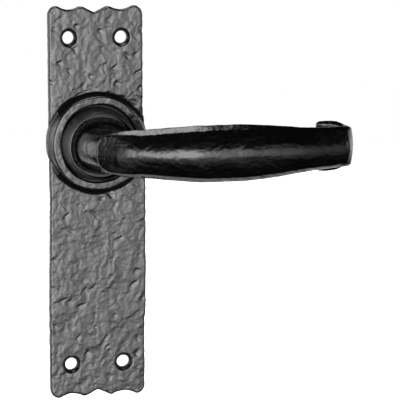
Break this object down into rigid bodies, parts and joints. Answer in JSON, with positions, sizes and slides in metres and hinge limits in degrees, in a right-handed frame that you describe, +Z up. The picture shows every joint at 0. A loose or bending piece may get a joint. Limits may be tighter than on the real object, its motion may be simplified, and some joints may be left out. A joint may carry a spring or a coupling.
{
  "type": "door lever handle",
  "caption": "Black cast-iron lever latch handle on a tall scalloped backplate, with a round boss, a turned collar, a leaf-shaped grip with a scroll end, a return spring and a square spindle",
  "frame": {"origin": "where the spindle's axis crosses the door's face, which the back of the plate lies on", "axes": "+X along the lever toward its tip, +Y into the door, +Z up the plate; the front of the handle faces -Y"},
  "size_m": [0.1118, 0.1053, 0.1515],
  "materials": {
    "black_cast_iron": "satin black enamel over a hammered casting",
    "black_lever_iron": "smooth satin black enamel",
    "black_turned_iron": "smooth turned, satin black enamel",
    "nylon": "natural nylon",
    "zinc_plated_steel": "bright zinc plate",
    "spring_steel": "blued strip steel, oiled",
    "dark_spring_steel": "black oxide",
    "ground_steel": "ground"
  },
  "bodies": {
    "plate": {"backplate": "black_cast_iron", "bearing_collar": "black_turned_iron", "thrust_washer": "nylon", "stop_pins": "ground_steel", "spring_anchor_pin": "ground_steel", "return_spring": "spring_steel"},
    "lever": {"lever": "black_lever_iron", "spring_arbor": "zinc_plated_steel", "stop_plate": "zinc_plated_steel", "circlip": "dark_spring_steel", "spindle": "zinc_plated_steel", "grub_screw": "dark_spring_steel"}
  },
  "joints": [
    {"name": "lever_turn", "type": "hinge", "parent": "plate", "child": "lever", "pos_m": [0, 0, 0], "axis": [0, 1, 0], "range_deg": [0, 50], "stiffness_Nm_per_rad": 0.5, "springref_deg": -51.57, "deforming": ["return_spring"]}
  ]
}
